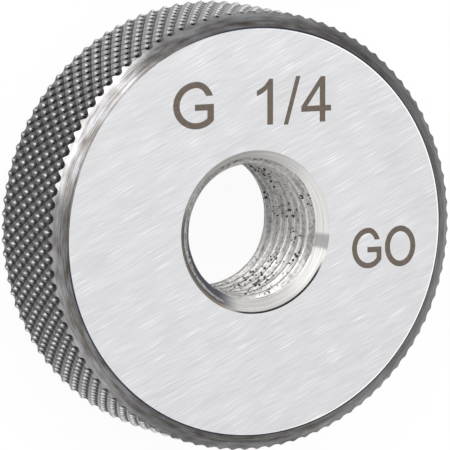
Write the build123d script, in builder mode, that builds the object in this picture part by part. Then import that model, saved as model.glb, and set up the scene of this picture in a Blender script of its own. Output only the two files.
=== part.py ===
"""GO thread ring gauge for a G 1/4 pipe thread.

One hardened steel ring: ground faces, a diamond-knurled side to hold it by, and a threaded bore.
Millimetres. The axis is Z, the plain face rests at z = 0 and the marked face is on top at z = width.
"""
import os
from math import cos, pi, radians, sin, tan

from build123d import *

os.makedirs("parts", exist_ok=True)

# The ring blank: the diameter is taken over the knurl's crests.
outside_diameter = 38.0
width = 12.0

# The turned edge at both ends, across the face and along the side.
edge_across = 1.45
edge_along = 1.1

# G 1/4: a parallel pipe thread of 55 degree form with rounded crests and roots.
thread_major_diameter = 13.157
threads_per_inch = 19
thread_depth = 0.640327 * 25.4 / threads_per_inch
bore_diameter = thread_major_diameter - 2 * thread_depth

# The lead-in cone at both mouths starts a little outside the thread's roots.
mouth_clearance = 0.47
mouth_diameter = thread_major_diameter + 2 * mouth_clearance
lead_angle = 45

# Diamond knurl: two sets of grooves that cross, each leaning from the axis by the knurl angle.
groove_pitch = 1.01
knurl_angle = 30
knurl_depth = 0.33

# The crests of the end rows stand this far inside the corners of the turned edges, and the first of them
# this many degrees round from +X.
end_land = 0.03
first_crest_angle = 1.06

# A whole number of diamonds goes round the ring and another along it, between the end rows.
crest_radius = outside_diameter / 2
root_radius = crest_radius - knurl_depth
diamonds_around = round(2 * pi * root_radius * cos(radians(knurl_angle)) / groove_pitch)
columns = 2 * diamonds_around
first_row = edge_along + end_land
diamond_length = 2 * pi * root_radius / diamonds_around / tan(radians(knurl_angle))
diamonds_along = round((width - 2 * first_row) / diamond_length)
rows = 2 * diamonds_along + 1
heights = [first_row + (width - 2 * first_row) * row / (rows - 1) for row in range(rows)]

# How far the bar and the tools that trim it run past the ring.
spare = 0.5


def knurl_row(row, height):
    """The points of a row. Crests and groove crossings take turns round the ring and from row to row."""
    points = []
    for column in range(columns):
        radius = crest_radius if (column + row) % 2 == 0 else root_radius
        angle = radians(first_crest_angle) + 2 * pi * column / columns
        points.append((radius * cos(angle), radius * sin(angle), height))
    return points


def flat_face(*points):
    """A flat face with straight edges through the points."""
    return Face(Wire.make_polygon(points, close=True))


# The knurled bar that the ring is cut from. Each diamond is a low pyramid of four flat faces, so every
# square of neighbouring points is folded along the groove that runs through it.
knurl_faces = []
for row in range(rows - 1):
    lower = knurl_row(row, heights[row])
    upper = knurl_row(row + 1, heights[row + 1])
    for column in range(columns):
        after = (column + 1) % columns
        if (column + row) % 2 == 0:
            crests = (lower[column], upper[after])
            groove = (lower[after], upper[column])
        else:
            crests = (lower[after], upper[column])
            groove = (lower[column], upper[after])
        for crest in crests:
            knurl_faces.append(flat_face(crest, *groove))

# Past the end rows the grooves run straight to the ends of the bar.
for row, end in ((0, -spare), (rows - 1, width + spare)):
    end_row = knurl_row(row, heights[row])
    bar_end = knurl_row(row, end)
    for column in range(columns):
        after = (column + 1) % columns
        knurl_faces.append(flat_face(end_row[column], end_row[after], bar_end[after], bar_end[column]))
    knurl_faces.append(flat_face(*bar_end))
knurled_bar = Solid(Shell(knurl_faces))

# The ring's section. Its edges run on past the crests, so that only a cone meets the knurl there.
face_radius = crest_radius - edge_across
mouth_radius = mouth_diameter / 2
bore_radius = bore_diameter / 2
lead_length = (mouth_radius - bore_radius) / tan(radians(lead_angle))
edge_end = edge_along + spare * edge_along / edge_across

with BuildPart() as ring_gauge:
    with BuildSketch(Plane.XZ):
        with BuildLine():
            Polyline(
                (bore_radius, lead_length),
                (mouth_radius, 0),
                (face_radius, 0),
                (crest_radius + spare, edge_end),
                (crest_radius + spare, width - edge_end),
                (face_radius, width),
                (mouth_radius, width),
                (bore_radius, width - lead_length),
                close=True,
            )
        make_face()
    revolve(axis=Axis.Z)
    add(knurled_bar, mode=Mode.INTERSECT)

ring_gauge.part.label = "ring_gauge"
export_step(ring_gauge.part, "parts/ring_gauge.step")
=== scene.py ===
"""GO thread ring gauge for a G 1/4 pipe thread, lying on its plain face on a white table.

Sizes are in millimetres and are turned to metres where they enter a mesh, a material, a lamp or the camera.
The ring's axis is Z, the marked face is on top, +X runs to the right of the marks and +Y to their top.
"""
import math

import bpy
import numpy as np
from mathutils import Matrix, Vector
from mathutils.geometry import tessellate_polygon


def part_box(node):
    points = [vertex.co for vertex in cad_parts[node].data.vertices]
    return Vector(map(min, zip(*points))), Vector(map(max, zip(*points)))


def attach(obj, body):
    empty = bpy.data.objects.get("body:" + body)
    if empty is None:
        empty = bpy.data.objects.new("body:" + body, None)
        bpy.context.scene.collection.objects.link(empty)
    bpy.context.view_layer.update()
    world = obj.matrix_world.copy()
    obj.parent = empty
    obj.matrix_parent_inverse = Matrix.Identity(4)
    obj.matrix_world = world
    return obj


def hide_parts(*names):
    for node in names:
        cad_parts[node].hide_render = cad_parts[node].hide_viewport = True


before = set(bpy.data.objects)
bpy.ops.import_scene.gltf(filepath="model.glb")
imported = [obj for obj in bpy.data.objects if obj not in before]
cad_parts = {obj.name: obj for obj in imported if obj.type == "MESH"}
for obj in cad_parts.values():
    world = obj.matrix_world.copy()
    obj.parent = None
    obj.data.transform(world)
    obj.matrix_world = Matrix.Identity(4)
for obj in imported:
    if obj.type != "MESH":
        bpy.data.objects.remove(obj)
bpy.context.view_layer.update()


# The knurled side
# The ring is turned from tool steel and knurled between its turned edges: rollers press two sets of grooves
# into it that cross as diamonds, and the metal between them rises into round-topped teeth.
MM = 0.001
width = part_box("ring_gauge")[1].z / MM
crest_radius = 19.0
knurl_depth = 0.33
root_radius = crest_radius - knurl_depth

# The turned edges, across the face and along the side, and how far the grinding breaks their corner.
edge_across = 1.45
edge_along = 1.1
face_radius = crest_radius - edge_across
broken_corner = 0.03

# The teeth stand in rows that lie evenly about the ring's middle. The grooves lean from the axis.
teeth = 101
first_tooth = math.radians(1.06)
tooth_rows = 11
groove_lean = math.radians(30)
row_step = math.pi * root_radius / teeth / math.tan(groove_lean)
first_row = width / 2 - (tooth_rows - 1) / 2 * row_step

# The powers that round a tooth's four ridges and its crest.
ridge_power = 7
crest_power = 1.9

# The teeth begin to thin out this far from either face, and are thinnest after this much more.
thin_from = 1.5
thin_over = 0.5

# Closer than this to the marked face, the grooves lose this share of their depth, except about the deep side.
# The greater the reach, the farther round from there they stay deep.
shallow_from = 2.6
shallow_share = 0.4
deep_side = math.radians(165)
deep_reach = 1.7

steps_per_tooth = 8
steps_per_row = 4
columns = teeth * steps_per_tooth
angles = first_tooth + 2 * math.pi * np.arange(columns) / columns


def knurl_radius(angle, height):
    """The root radius plus the teeth.

    Counted in teeth round the ring, each set of grooves is a row of parallel lines, so a point's distance
    from the nearest line midway between two grooves is 0 there and 1 in a groove. The larger of the two
    distances, rounded where they are equal, says how far down the tooth's flank the point is. The tooth is
    round at its crest and steepest in the groove. Close to the turned edges the teeth thin out to points,
    and beside the marked face the grooves are shallower, except on the ring's left.
    """
    round_ring = (angle - first_tooth) * teeth / (2 * math.pi)
    along = (height - first_row) / (2 * row_step)
    across = [2 * np.abs(line - np.round(line)) for line in (round_ring + along, round_ring - along)]
    down = np.minimum((across[0] ** ridge_power + across[1] ** ridge_power) ** (1 / ridge_power), 1)
    thinned = np.clip((np.abs(height - width / 2) - (width / 2 - thin_from)) / thin_over, 0, 1)
    tooth = (1 - down ** crest_power) ** (1 + 2 * thinned)
    deep = np.clip(deep_reach * np.cos(angle - deep_side), 0, 1)
    filled = shallow_share * (1 - deep) * np.clip(height - (width - shallow_from), 0, 1)
    return root_radius + knurl_depth * (tooth + (1 - tooth) * filled)


def edge_height(angle):
    """How far from the face the turned cone meets the knurl, found by stepping to and fro between them."""
    height = np.full_like(angle, edge_along)
    for _ in range(40):
        height = (knurl_radius(angle, width - height) - face_radius) * edge_along / edge_across
    return height


def about_axis(radius, angle, height):
    """Points: x is the radius times the angle's cosine, y the radius times its sine, and z the height."""
    return np.stack([radius * np.cos(angle), radius * np.sin(angle), height], -1)


# Each column of points runs over the lower broken corner, up the lower cone, the teeth and the upper cone,
# and over the upper corner. The corner is a curve that leaves the face and joins the cone. Where a share of
# it is done, it lies in from the sharp corner by the square of the rest, and down the cone by the square of
# that share, both times the size of the broken corner.
corner_rows = 4
cone_rows = 3
run_in_rows = 4

slope = np.array([edge_across, edge_along]) / math.hypot(edge_across, edge_along)
done = np.linspace(0, 1, corner_rows)[:, None]
corner_radius = face_radius - broken_corner * (1 - done) ** 2 + broken_corner * slope[0] * done ** 2
corner_height = broken_corner * slope[1] * done ** 2

meets = edge_height(angles)
climb = np.linspace(0, 1, cone_rows + 1)[1:, None]
cone_height = corner_height[-1] + climb * (meets - corner_height[-1])
cone_radius = face_radius + cone_height * edge_across / edge_along

# The rows of points run from the cone's end to the teeth, then step evenly to the ring's middle, and the
# upper half mirrors the lower one.
run_in = np.linspace(0, 1, run_in_rows + 1)[1:, None]
run_in_height = meets + run_in * (first_row + row_step / 2 - meets)
below_middle = np.arange(1 - (tooth_rows - 2) * steps_per_row // 2, 1)[:, None]
row_height = width / 2 + below_middle * row_step / steps_per_row

all_round = np.ones(columns)
lower_height = np.concatenate([corner_height * all_round, cone_height, run_in_height, row_height * all_round])
side_height = np.concatenate([lower_height, width - lower_height[-2::-1]])
side_radius = knurl_radius(angles, side_height)
edge_radius = np.concatenate([corner_radius * all_round, cone_radius])
side_radius[:len(edge_radius)] = edge_radius
side_radius[-len(edge_radius):] = edge_radius[::-1]
side_points = about_axis(side_radius, angles, side_height)


# The threaded bore
# A right-hand pipe thread of 55 degrees, 19 to the inch, with round crests and roots, ground and lapped to
# gauge size. A cone turned at each mouth leads the work in.
major_diameter = 13.157
pitch = 25.4 / 19
thread_depth = 0.640327 * pitch
thread_round = 0.137329 * pitch
half_angle = math.radians(27.5)
middle_radius = (major_diameter - thread_depth) / 2
mouth_clearance = 0.47
mouth_radius = major_diameter / 2 + mouth_clearance

# The bore has a column of points for every fourth one of the side, and enough turns to pass both faces.
bore_angles = angles[::4]
bore_columns = len(bore_angles)
steps_per_turn = 18
bore_rows = steps_per_turn * math.ceil(width / pitch + 1) + 1


def thread_radius(angle, height):
    """The thread's groove.

    Counted in turns from a groove's middle, a point lies on a straight flank, or on the round of the root or
    of the crest, which are arcs that the flank touches. The groove's middle climbs one pitch in each turn.
    """
    turns = height / pitch - angle / (2 * math.pi)
    from_root = np.abs(turns - np.round(turns)) * pitch
    from_crest = pitch / 2 - from_root
    touches = thread_round * math.cos(half_angle)
    reach = thread_depth / 2 - thread_round
    root = reach + np.sqrt(np.maximum(thread_round ** 2 - from_root ** 2, 0))
    crest = -reach - np.sqrt(np.maximum(thread_round ** 2 - from_crest ** 2, 0))
    flank = (pitch / 4 - from_root) / math.tan(half_angle)
    return middle_radius + np.where(from_root < touches, root, np.where(from_crest < touches, crest, flank))


# The rows of points follow the thread, and are cut off level at both faces.
bore_height = pitch * (np.arange(bore_rows)[:, None] / steps_per_turn + bore_angles / (2 * math.pi) - 1)
bore_height = np.clip(bore_height, 0, width)
groove_radius = thread_radius(bore_angles, bore_height)
mouth_cone = mouth_radius - np.minimum(bore_height, width - bore_height)
bore_points = about_axis(np.maximum(groove_radius, mouth_cone), bore_angles, bore_height)


# The marks
# The thread's size and the word for the gauge's use, burnt into the marked face by laser in plain strokes
# of even width. Their places count from the ring's axis, to the right and up as they are read. Each outline
# runs round a letter once, and a second one round what it encloses.
def arc(middle, across, up, start, end, steps=20):
    """Points on an ellipse: the middle plus across times the cosine and up times the sine of the degrees."""
    angle = np.radians(np.linspace(start, end, steps))
    return np.stack([middle[0] + across * np.cos(angle), middle[1] + up * np.sin(angle)], -1)


def letter_g(left, right, bottom, top, middle, side, level, bar_left, bar_top, open_end):
    """A G: a round stroke with its upper right quarter drawn in, a stem and a bar.

    The stroke is as wide as side where it runs upright and as level where it runs across. Its inner outline
    is the outer one drawn in by that, and both end at the height of the open end and at the stem.
    """
    centre = (middle, (bottom + top) / 2)
    across, up = middle - left, (top - bottom) / 2
    drawn_in = 0.77 * across
    rims = []
    for inset_side, inset_level in ((0, 0), (side, level)):
        wide, tall = across - inset_side, up - inset_level
        begins = math.degrees(math.asin((open_end - centre[1]) / tall))
        ends = 360 - math.degrees(math.acos((right - inset_side - middle) / wide))
        quarter = arc(centre, drawn_in - inset_side, tall, begins, 90)
        rims.append(np.concatenate([quarter, arc(centre, wide, tall, 90, ends, 40)[1:]]))
    under_bar = bar_top - level
    bar = [(right, bar_top), (bar_left, bar_top), (bar_left, under_bar), (right - side, under_bar)]
    return [np.concatenate([rims[0], bar, rims[1][::-1]])]


def letter_o(left, right, bottom, top, side, level):
    """An O: one ellipse inside another."""
    centre = ((left + right) / 2, (bottom + top) / 2)
    across, up = (right - left) / 2, (top - bottom) / 2
    return [arc(centre, across, up, 0, 360, 49)[:-1], arc(centre, across - side, up - level, 0, 360, 49)[:-1]]


figure_one = [np.array([(1.64, 9.2), (1.64, 13.15), (1.28, 13.15), (1.0, 12.8), (0.8, 12.57), (0.5, 12.37),
                        (0.1, 12.15), (0.1, 11.7), (0.5, 11.85), (0.8, 12.03), (1.09, 12.28), (1.09, 9.2)])]
slash = [np.array([(2.65, 9.13), (3.07, 9.13), (4.24, 13.27), (3.82, 13.27)])]
figure_four = [np.array([(6.08, 9.23), (6.61, 9.23), (6.61, 10.15), (7.16, 10.15), (7.16, 10.65),
                         (6.61, 10.65), (6.61, 13.15), (6.17, 13.15), (4.32, 10.62), (4.32, 10.15),
                         (6.08, 10.15)]),
               np.array([(4.90, 10.65), (6.08, 10.65), (6.08, 12.31)])]
size_g = letter_g(left=-7.79, right=-3.95, bottom=9.12, top=13.20, middle=-5.6, side=0.62, level=0.54,
                  bar_left=-5.74, bar_top=11.245, open_end=11.95)
use_g = letter_g(left=9.19, right=12.02, bottom=-3.72, top=-0.18, middle=10.75, side=0.47, level=0.48,
                 bar_left=10.67, bar_top=-1.865, open_end=-1.25)
use_o = letter_o(left=12.35, right=15.29, bottom=-3.71, top=-0.15, side=0.49, level=0.5)
marks = [size_g, figure_one, slash, figure_four, use_g, use_o]


# The whole ring
# One piece of hardened tool steel: the knurled side, the turned edges, the two ground faces and the threaded
# bore share their rims, so the mesh is closed. It lies on the plain face.
side_rows = len(side_height)
side_index = np.arange(side_rows * columns).reshape(side_rows, columns)
bore_index = side_index.size + np.arange(bore_rows * bore_columns).reshape(bore_rows, bore_columns)

# Where the cut at a face leaves several points of a column on one spot, they share one number.
lower_mouth = bore_index[0]
upper_mouth = bore_index[-1]
bore_index = np.where(bore_height <= 0, lower_mouth, np.where(bore_height >= width, upper_mouth, bore_index))

mark_points, mark_loops = [], []
counted = side_index.size + bore_index.size
for mark in marks:
    mark_loops.append([])
    for outline in mark:
        mark_points.append(np.column_stack([outline, np.full(len(outline), width)]))
        mark_loops[-1].append(counted + np.arange(len(outline)))
        counted += len(outline)
points = np.concatenate([side_points.reshape(-1, 3), bore_points.reshape(-1, 3), *mark_points])


def bands(a, b, c, d):
    """Two triangles for each square a, b, c, d, without those that have lost a side."""
    both = np.concatenate([np.stack([a, b, c], -1).reshape(-1, 3), np.stack([a, c, d], -1).reshape(-1, 3)])
    return both[(both != np.roll(both, 1, 1)).all(1)]


def side_bands(first, last):
    """The triangles of the side between two of its rows of points."""
    onward = np.roll(side_index, -1, 1)
    lower, upper = slice(first, last), slice(first + 1, last + 1)
    return bands(side_index[lower], onward[lower], onward[upper], side_index[upper])


def level_face(loops, facing):
    """Triangles between closed loops of points on one level.

    They look up where facing is 1 and down where it is -1. The sign of a triangle's area says which way it
    looks, and one that looks the other way is turned over.
    """
    numbers = np.concatenate(loops)
    corners = np.array(tessellate_polygon([[Vector(point) for point in points[loop]] for loop in loops]))
    a, b, c = np.moveaxis(points[numbers[corners]], 1, 0)[..., :2]
    area = (b - a)[:, 0] * (c - a)[:, 1] - (b - a)[:, 1] * (c - a)[:, 0]
    return numbers[np.where((area * facing > 0)[:, None], corners, corners[:, ::-1])]


# An edge ends in the row in which its cone meets the knurl.
edge_ends = corner_rows + cone_rows - 1
top_row = side_rows - 1
knurl_faces = side_bands(edge_ends, top_row - edge_ends)
edge_faces = [side_bands(0, edge_ends), side_bands(top_row - edge_ends, top_row)]

# Past the last column, the thread is one turn of rows further on.
bore_onward = np.roll(bore_index, -1, 1)
bore_onward[:-steps_per_turn, -1] = bore_index[steps_per_turn:, 0]
bore_onward[-steps_per_turn:, -1] = upper_mouth[0]
bore_faces = bands(bore_index[:-1], bore_index[1:], bore_onward[1:], bore_onward[:-1])
on_cone = (mouth_cone > groove_radius).ravel()[bore_faces - side_index.size].all(1)

rims = [loops[0] for loops in mark_loops]
enclosed = [loop for loops in mark_loops for loop in loops[1:]]
marked_side = level_face([side_index[-1], upper_mouth, *rims], 1)
plain_side = level_face([side_index[0], lower_mouth], -1)
ground_faces = [marked_side, *(level_face([loop], 1) for loop in enclosed), plain_side]
burnt_faces = [level_face(loops, 1) for loops in mark_loops]

KNURLED, TURNED, THREADED, MOUTH, GROUND, BURNT = range(6)
zones = [(knurl_faces, KNURLED), *((faces, TURNED) for faces in edge_faces), (bore_faces[on_cone], MOUTH),
         (bore_faces[~on_cone], THREADED), *((faces, GROUND) for faces in ground_faces),
         *((faces, BURNT) for faces in burnt_faces)]
zone = np.concatenate([np.full(len(faces), number, np.int32) for faces, number in zones])
used, faces = np.unique(np.concatenate([faces for faces, _ in zones]), return_inverse=True)

# The curved surfaces are shaded smooth, with crisp edges where they fold by more than this.
crisp_fold = math.radians(28)
mesh = bpy.data.meshes.new("gauge_ring")
mesh.from_pydata(points[used] * MM, [], faces.reshape(-1, 3))
mesh.polygons.foreach_set("material_index", zone)
mesh.polygons.foreach_set("use_smooth", zone < GROUND)
mesh.set_sharp_from_angle(angle=crisp_fold)
gauge_ring = bpy.data.objects.new("gauge_ring", mesh)
bpy.context.scene.collection.objects.link(gauge_ring)


def linear(code):
    """A colour written as an sRGB hex value, in linear light with alpha 1."""
    parts = [int(code[i:i + 2], 16) / 255 for i in (1, 3, 5)]
    return [p / 12.92 if p <= 0.04045 else ((p + 0.055) / 1.055) ** 2.4 for p in parts] + [1.0]


def add(material, kind, *values, stops=(), **named):
    """Adds a node to a material, or to the world, and returns it.

    The values fill its open inputs in their order, and a named one goes to the input or the setting of that
    name. A value may also be a hex colour, another node's output, or a node, which stands for its first open
    output. A colour ramp's stops are places from 0 to 1, each with a hex colour.
    """
    tree = material.node_tree
    node = tree.nodes.new("ShaderNode" + kind)
    for name in [name for name in named if hasattr(node, name)]:
        setattr(node, name, named.pop(name))
    filled = [*zip([socket for socket in node.inputs if socket.enabled], values)]
    filled += [(node.inputs[name], value) for name, value in named.items()]
    for socket, value in filled:
        if isinstance(value, bpy.types.Node):
            value = next(output for output in value.outputs if output.enabled)
        if isinstance(value, bpy.types.NodeSocket):
            tree.links.new(value, socket)
        else:
            socket.default_value = linear(value) if isinstance(value, str) else value
    for place, _ in stops[2:]:
        node.color_ramp.elements.new(place)
    for element, (place, code) in zip(node.color_ramp.elements if stops else (), stops):
        element.position, element.color = place, linear(code)
    return node


# A Map Range node's values are what it reads, where it starts and ends, and what it gives at those places.
# With this setting, it eases in and out between them.
soft = {"interpolation_type": "SMOOTHSTEP"}


def new_material(name):
    """An empty material of that name."""
    material = bpy.data.materials.new(name)
    material.use_nodes = True
    material.node_tree.nodes.clear()
    return material


def polar(material):
    """How far a point is from the ring's axis, and the point's x, y and z."""
    where = add(material, "TexCoord").outputs["Object"]
    level = add(material, "VectorMath", where, (1, 1, 0), operation="MULTIPLY")
    radius = add(material, "VectorMath", level, operation="LENGTH")
    return radius, *add(material, "SeparateXYZ", where).outputs


def towards_side(material, degrees):
    """How squarely a point faces a side of the ring, which is given in degrees round the axis from +X.

    It is the cosine of the angle between the two: 1 at that side and 0 a quarter turn round from it.
    """
    where = add(material, "TexCoord").outputs["Object"]
    level = add(material, "VectorMath", where, (1, 1, 0), operation="MULTIPLY")
    outwards = add(material, "VectorMath", level, operation="NORMALIZE")
    side = (math.cos(math.radians(degrees)), math.sin(math.radians(degrees)), 0)
    return add(material, "VectorMath", outwards, side, operation="DOT_PRODUCT")


def grain(material, where, lengths, detail=2.0, seed=0.0):
    """Noise with features as long as the lengths, in millimetres, along the three values of where."""
    spot = add(material, "CombineXYZ", *where)
    scaled = add(material, "VectorMath", spot, [length * MM for length in lengths], operation="DIVIDE")
    return add(material, "TexNoise", Vector=scaled, W=seed, Scale=1.0, Detail=detail, noise_dimensions="4D")


# Tool steel, pressed by knurling rollers and blackened by the quench: dark grey-brown flanks, a small painted
# highlight on the shoulder of each tooth and painted shade in the hollow beyond it. At the top and the bottom
# of the marks the flanks are painted silver, a painted reflection.
knurled = new_material("knurled_tool_steel")
radius, x, y, z = polar(knurled)
above_root = add(knurled, "MapRange", radius, root_radius * MM, crest_radius * MM, **soft)
mottle = grain(knurled, (x, y, z), (0.35, 0.35, 0.35), detail=3.0)


def from_tooth(shift):
    """How far a point lies from the nearest tooth's tip, shifted by millimetres towards the marked face.

    It is the larger distance from the two sets of lines on which the teeth stand, 0.5 at most, plus a share
    of the mottle. Ping-pong over a half gives the distance from the nearest whole number.
    """
    bearing = add(knurled, "Math", y, x, operation="ARCTAN2")
    turned_by = add(knurled, "Math", bearing, first_tooth, operation="SUBTRACT")
    round_ring = add(knurled, "Math", turned_by, teeth / (2 * math.pi), operation="MULTIPLY")
    height = add(knurled, "Math", z, (first_row + shift) * MM, operation="SUBTRACT")
    along = add(knurled, "Math", height, 2 * row_step * MM, operation="DIVIDE")
    lines = [add(knurled, "Math", round_ring, along, operation=sign) for sign in ("ADD", "SUBTRACT")]
    away = [add(knurled, "Math", line, 0.5, operation="PINGPONG") for line in lines]
    farther = add(knurled, "Math", *away, operation="MAXIMUM")
    uneven_by = 0.16
    return add(knurled, "Math", mottle, uneven_by, farther, operation="MULTIPLY_ADD")


# The flanks are darker towards the roots of the teeth.
flank_stops = [(0.0, "#525154"), (0.4, "#615f5d"), (1.0, "#6d6b6a")]
colour = add(knurled, "ValToRGB", above_root, stops=flank_stops)

# A painted reflection: silver at the top and the bottom of the marks, above the roots of the teeth.
from_middle = add(knurled, "Math", y, operation="ABSOLUTE")
top_and_bottom = add(knurled, "MapRange", from_middle, 9 * MM, 17 * MM, 0.0, 0.8, **soft)
reached = add(knurled, "MapRange", above_root, 0.1, 0.6, **soft)
painted_reflection = add(knurled, "Math", top_and_bottom, reached, operation="MULTIPLY")
colour = add(knurled, "Mix", painted_reflection, colour, "#a5a3a1", data_type="RGBA")

# Painted shade: black hollows, blackest towards the marks' top, and a blue-black band beside the upper turned
# edge.
shade_towards_top = add(knurled, "MapRange", y, 4 * MM, 14 * MM, 0.65, 1.0, **soft)
beyond_tooth = add(knurled, "MapRange", from_tooth(0.62), 0.23, 0.33, 1.0, 0.0, **soft)
painted_hollow_shade = add(knurled, "Math", shade_towards_top, beyond_tooth, operation="MULTIPLY")
colour = add(knurled, "Mix", painted_hollow_shade, colour, "#121217", data_type="RGBA")
painted_edge_band = add(knurled, "MapRange", z, (width - 1.4) * MM, (width - 1.15) * MM, 0.0, 0.8, **soft)
colour = add(knurled, "Mix", painted_edge_band, colour, "#1b1c26", data_type="RGBA")

# Painted highlights on the tooth shoulders, some brighter than others.
highlight_noise = grain(knurled, (x, y, z), (0.8, 0.8, 0.8), detail=1.0, seed=3.0)
highlight_strength = add(knurled, "MapRange", highlight_noise, 0.3, 0.6, 0.5, 0.95, **soft)
on_shoulder = add(knurled, "MapRange", from_tooth(0.36), 0.15, 0.24, 1.0, 0.0, **soft)
painted_highlight = add(knurled, "Math", highlight_strength, on_shoulder, operation="MULTIPLY")
colour = add(knurled, "Mix", painted_highlight, colour, "#e8e8ec", data_type="RGBA")

bump = add(knurled, "Bump", Height=mottle, Distance=0.01 * MM)
shader = add(knurled, "BsdfPrincipled", colour, Metallic=1.0, Roughness=0.3, Normal=bump)
add(knurled, "OutputMaterial", shader)

# Tool steel, turned and hardened: fine rings left by the tool, patches of grey and brown scale, painted shade
# on the right side, a painted highlight on the left one, and a painted line of shade beside the ground face.
turned = new_material("turned_tool_steel")
radius, x, y, _ = polar(turned)
rings = grain(turned, (x, y, radius), (8.0, 8.0, 0.06))
patches = grain(turned, (x, y, radius), (1.6, 1.6, 0.35), detail=4.0, seed=4.0)
tone = add(turned, "Mix", 0.5, rings, patches)
colour = add(turned, "ValToRGB", tone, stops=[(0.38, "#4c4844"), (0.5, "#6f6c6a"), (0.62, "#8b8c92")])
# Painted shade on the right side.
painted_shade_right = add(turned, "MapRange", towards_side(turned, 8), 0.2, 0.8, 0.0, 0.45, **soft)
colour = add(turned, "Mix", painted_shade_right, colour, "#454341", data_type="RGBA")

# A painted highlight in patches towards the knurl, most at the upper left.
facing = towards_side(turned, 145)
painted_light_left = add(turned, "MapRange", facing, 0.0, 0.5, 0.3, 0.6, **soft)
outer = add(turned, "MapRange", radius, (face_radius + 0.4) * MM, (crest_radius - 0.2) * MM, **soft)
painted_sheen = add(turned, "Math", painted_light_left, outer, operation="MULTIPLY")
painted_sheen = add(turned, "Math", painted_sheen, patches, operation="MULTIPLY")
colour = add(turned, "Mix", painted_sheen, colour, "#cdcdd0", data_type="RGBA")

# The painted line of shade beside the ground face is left out at the upper left, where the light falls.
from_line = add(turned, "Math", radius, (face_radius + 0.03) * MM, operation="SUBTRACT")
from_line = add(turned, "Math", from_line, operation="ABSOLUTE")
shade_line = add(turned, "MapRange", from_line, 0.03 * MM, 0.12 * MM, 1.0, 0.0, **soft)
away_from_light = add(turned, "MapRange", facing, 0.70, 0.90, 1.0, 0.0, **soft)
painted_edge_shade = add(turned, "Math", shade_line, away_from_light, operation="MULTIPLY")
colour = add(turned, "Mix", painted_edge_shade, colour, "#3c3e4c", data_type="RGBA")

bump = add(turned, "Bump", Height=rings, Distance=0.004 * MM)
shader = add(turned, "BsdfPrincipled", colour, Metallic=1.0, Roughness=0.22, Normal=bump)
add(turned, "OutputMaterial", shader)

# Tool steel, ground and lapped in the thread: fine level lines, painted highlights on the crests, and
# clusters of dark pits that still hold the hardening scale. The lines are drawn as coarse as they need to be
# to show.
threaded = new_material("threaded_tool_steel")
radius, x, y, z = polar(threaded)
lines = grain(threaded, (x, y, z), (3.0, 3.0, 0.14), detail=3.0)
mottle = grain(threaded, (x, y, z), (0.3, 0.3, 0.2), detail=3.0, seed=5.0)
tone = add(threaded, "Mix", 0.5, lines, mottle)
colour = add(threaded, "ValToRGB", tone, stops=[(0.36, "#7a7876"), (0.64, "#d6d4d2")])
# A painted highlight on the thread's crests.
crest_from, crest_to = (middle_radius - 0.40) * MM, (middle_radius - 0.24) * MM
crest_highlight = add(threaded, "MapRange", radius, crest_from, crest_to, 0.45, 0.0, **soft)
colour = add(threaded, "Mix", crest_highlight, colour, "#ffffff", data_type="RGBA")

# A pit is a dot about a point of a cell pattern. The dots grow where the clusters' noise is low, and fewer
# are left towards both mouths.
pit_spacing = 0.32
where = add(threaded, "TexCoord").outputs["Object"]
from_pit = add(threaded, "TexVoronoi", Vector=where, Scale=1 / (pit_spacing * MM))
clusters = grain(threaded, (x, y, z), (2.2, 2.2, 1.8), seed=2.0)
from_middle = add(threaded, "Math", z, width / 2 * MM, operation="SUBTRACT")
from_middle = add(threaded, "Math", from_middle, operation="ABSOLUTE")
kept_clean = add(threaded, "MapRange", from_middle, 1.5 * MM, 5.5 * MM, 0.0, 0.2, **soft)
sparse = add(threaded, "Math", clusters, 1.2, kept_clean, operation="MULTIPLY_ADD")
bare = add(threaded, "Math", from_pit, sparse, operation="ADD")
pitted = add(threaded, "MapRange", bare, 0.80, 0.95, 1.0, 0.0, **soft)
colour = add(threaded, "Mix", pitted, colour, "#3a3735", data_type="RGBA")

# A part of it is dull, because pure metal down in the bore mirrors little but its own dark walls. The mouth
# is given the same way.
bump = add(threaded, "Bump", Height=tone, Distance=0.02 * MM)
shader = add(threaded, "BsdfPrincipled", colour, Metallic=0.75, Roughness=0.4, Normal=bump)
add(threaded, "OutputMaterial", shader)

# Tool steel, turned and lapped at the mouth: nearly as bright as the face, with rings round it.
lapped = new_material("lapped_mouth_steel")
radius, x, y, _ = polar(lapped)
rings = grain(lapped, (x, y, radius), (5.0, 5.0, 0.12), detail=3.0)
colour = add(lapped, "ValToRGB", rings, stops=[(0.3, "#bcbab8"), (0.7, "#e4e2e0")])

# Painted shade at the lower left: grey inside and brown on the rim.
rim = add(lapped, "MapRange", radius, (mouth_radius - 0.30) * MM, (mouth_radius - 0.22) * MM, **soft)
shade_tones = add(lapped, "Mix", rim, "#5b5d66", "#8f8377", data_type="RGBA")
painted_shade_lower_left = add(lapped, "MapRange", towards_side(lapped, 207), 0.6, 0.85, **soft)
colour = add(lapped, "Mix", painted_shade_lower_left, colour, shade_tones, data_type="RGBA")

# Painted shade along the rim at the lower right, and a dull spot at the right.
outermost = add(lapped, "MapRange", radius, (mouth_radius - 0.20) * MM, (mouth_radius - 0.10) * MM, **soft)
lower_right = add(lapped, "MapRange", towards_side(lapped, -66), 0.70, 0.85, **soft)
painted_rim_shade = add(lapped, "Math", lower_right, outermost, operation="MULTIPLY")
colour = add(lapped, "Mix", painted_rim_shade, colour, "#1c1c20", data_type="RGBA")
dulled = add(lapped, "MapRange", towards_side(lapped, -10), 0.9925, 0.9985, 0.0, 0.7, **soft)
colour = add(lapped, "Mix", dulled, colour, "#7b7b7e", data_type="RGBA")

bump = add(lapped, "Bump", Height=rings, Distance=0.006 * MM)
shader = add(lapped, "BsdfPrincipled", colour, Metallic=0.5, Roughness=0.3, Normal=bump)
add(lapped, "OutputMaterial", shader)

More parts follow.
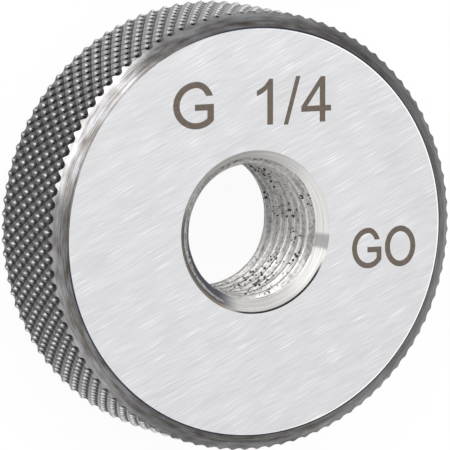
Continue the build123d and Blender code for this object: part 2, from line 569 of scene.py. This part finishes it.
# Tool steel, ground flat: bright and satin, with fine straight scratches that cross the whole face in two
# headings a few degrees apart. They are drawn as coarse as they need to be to show.
ground = new_material("ground_tool_steel")
where = add(ground, "TexCoord").outputs["Object"]
scratches = []
for heading, seed in ((20, 0.0), (26, 3.0)):
    lined_up = add(ground, "VectorRotate", where, Angle=math.radians(-heading), rotation_type="Z_AXIS")
    along_scratch = add(ground, "SeparateXYZ", lined_up).outputs
    scratches.append(grain(ground, along_scratch, (2.6, 0.055, 1.0), detail=1.0, seed=seed))
clouds = grain(ground, along_scratch, (6.0, 0.8, 1.0), seed=5.0)
tone = add(ground, "Mix", 0.5, scratches[0], add(ground, "Mix", 0.5, scratches[1], clouds))
colour = add(ground, "ValToRGB", tone, stops=[(0.36, "#c6c6c8"), (0.64, "#dcdcde")])

# A few deeper scratches catch the light, and so does the face's rim on the right.
scored = grain(ground, along_scratch, (3.6, 0.055, 1.0), detail=0.0, seed=9.0)
deep = add(ground, "MapRange", scored, 0.66, 0.74, **soft)
colour = add(ground, "Mix", deep, colour, "#eeeeef", data_type="RGBA")
radius, x, *_ = polar(ground)
rim = add(ground, "MapRange", radius, (face_radius - 0.16) * MM, (face_radius - 0.08) * MM, **soft)
on_right = add(ground, "MapRange", x, -2 * MM, 10 * MM, **soft)
glint = add(ground, "Math", rim, on_right, operation="MULTIPLY")
colour = add(ground, "Mix", glint, colour, "#ffffff", data_type="RGBA")

bump = add(ground, "Bump", Height=scratches[0], Distance=0.003 * MM)
shader = add(ground, "BsdfPrincipled", colour, Metallic=1.0, Roughness=0.32, Normal=bump)
add(ground, "OutputMaterial", shader)

# Tool steel, burnt by a marking laser: a matt brown oxide, a little uneven.
burnt = new_material("laser_burnt_steel")
_, x, y, z = polar(burnt)
uneven = grain(burnt, (x, y, z), (0.3, 0.3, 0.3), detail=3.0)
colour = add(burnt, "ValToRGB", uneven, stops=[(0.3, "#50463d"), (0.7, "#63584e")])
add(burnt, "OutputMaterial", add(burnt, "BsdfPrincipled", colour, Roughness=0.6))

for material in (knurled, turned, threaded, lapped, ground, burnt):
    mesh.materials.append(material)

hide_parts("ring_gauge")
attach(gauge_ring, "root")


# The table and the light
# A white seamless table in a white room. Large soft lamps stand about the ring: the key at the upper left,
# one past the top of the marks, a weak one at the lower left, and one where the ground face mirrors it.
reach = 3000.0
corners = [(-reach, -reach), (reach, -reach), (reach, reach), (-reach, reach)]
table_mesh = bpy.data.meshes.new("table")
table_mesh.from_pydata([(x * MM, y * MM, 0) for x, y in corners], [], [(0, 1, 2, 3)])
table = bpy.data.objects.new("table", table_mesh)
bpy.context.scene.collection.objects.link(table)


def seen_directly(material):
    """1 where a camera, a mirror or a glass looks at the surface, 0 for the light that it spreads."""
    seen = add(material, "LightPath").outputs
    either = add(material, "Math", seen["Is Camera Ray"], seen["Is Glossy Ray"], operation="MAXIMUM")
    return add(material, "Math", either, seen["Is Transmission Ray"], operation="MAXIMUM")


# The paper glows white where it is looked at, so that the shadow on it stays faint.
paper = new_material("white_paper")
matt = add(paper, "BsdfDiffuse", "#f4f4f4")
white = add(paper, "Emission", "#ffffff")
share = add(paper, "Math", seen_directly(paper), 0.94, operation="MULTIPLY")
add(paper, "OutputMaterial", add(paper, "MixShader", share, matt, white))
table_mesh.materials.append(paper)

# The room is white where the camera sees it and a light grey for everything else.
studio = bpy.data.worlds.new("studio")
bpy.context.scene.world = studio
studio.use_nodes = True
studio.node_tree.nodes.clear()
seen_by_camera = add(studio, "LightPath").outputs["Is Camera Ray"]
strength = add(studio, "MapRange", seen_by_camera, 0, 1, 0.7, 1.0, **soft)
add(studio, "OutputWorld", add(studio, "Background", "#ffffff", strength))


def softbox(name, direction, half_sizes, radiance):
    """A rectangular lamp that looks at the ring from a direction.

    The half sizes are shares of its distance, and its power is its radiance times pi times its area.
    """
    lamp_distance = 1400 * MM
    lamp = bpy.data.objects.new(name, bpy.data.lights.new(name, "AREA"))
    lamp.data.shape = "RECTANGLE"
    lamp.data.size, lamp.data.size_y = (2 * half * lamp_distance for half in half_sizes)
    lamp.data.energy = radiance * math.pi * lamp.data.size * lamp.data.size_y
    outwards = Vector(direction).normalized()
    lamp.location = outwards * lamp_distance
    lamp.rotation_euler = outwards.to_track_quat("Z", "Y").to_euler()
    lamp.visible_camera = False
    bpy.context.scene.collection.objects.link(lamp)


softbox("key", (-0.57, 0.51, 0.64), (0.42, 0.17), 3.2)
softbox("top", (0.05, 0.56, 0.83), (0.50, 0.30), 2.2)
softbox("fill", (-0.75, -0.50, 0.45), (0.8, 0.4), 0.45)
softbox("overhead", (0.42, -0.12, 0.90), (0.45, 0.45), 0.43)

bpy.context.scene.view_settings.view_transform = "Standard"


# The camera
# A long lens a good half metre off. It looks down on the marked face, 26 degrees off the axis and from the
# left, with the marks upright.
tilt = math.radians(26.184)
turn = math.radians(163.736)
distance = 684.95
aim_right, aim_up = -2.63, 0.617

towards = Vector((math.sin(tilt) * math.cos(turn), math.sin(tilt) * math.sin(turn), math.cos(tilt)))
right = Vector((0, 1, 0)).cross(towards).normalized()
above = towards.cross(right)
place = Vector((0, 0, width)) + aim_right * right + aim_up * above + distance * towards

camera = bpy.data.objects.new("camera", bpy.data.cameras.new("camera"))
camera.data.lens = 640.0
camera.data.sensor_width = 36.0
camera.data.clip_start = 10 * MM
camera.data.clip_end = 10000 * MM
axes = Matrix((right, above, towards)).transposed().to_4x4()
camera.matrix_world = Matrix.Translation(place * MM) @ axes
bpy.context.scene.collection.objects.link(camera)
bpy.context.scene.camera = camera
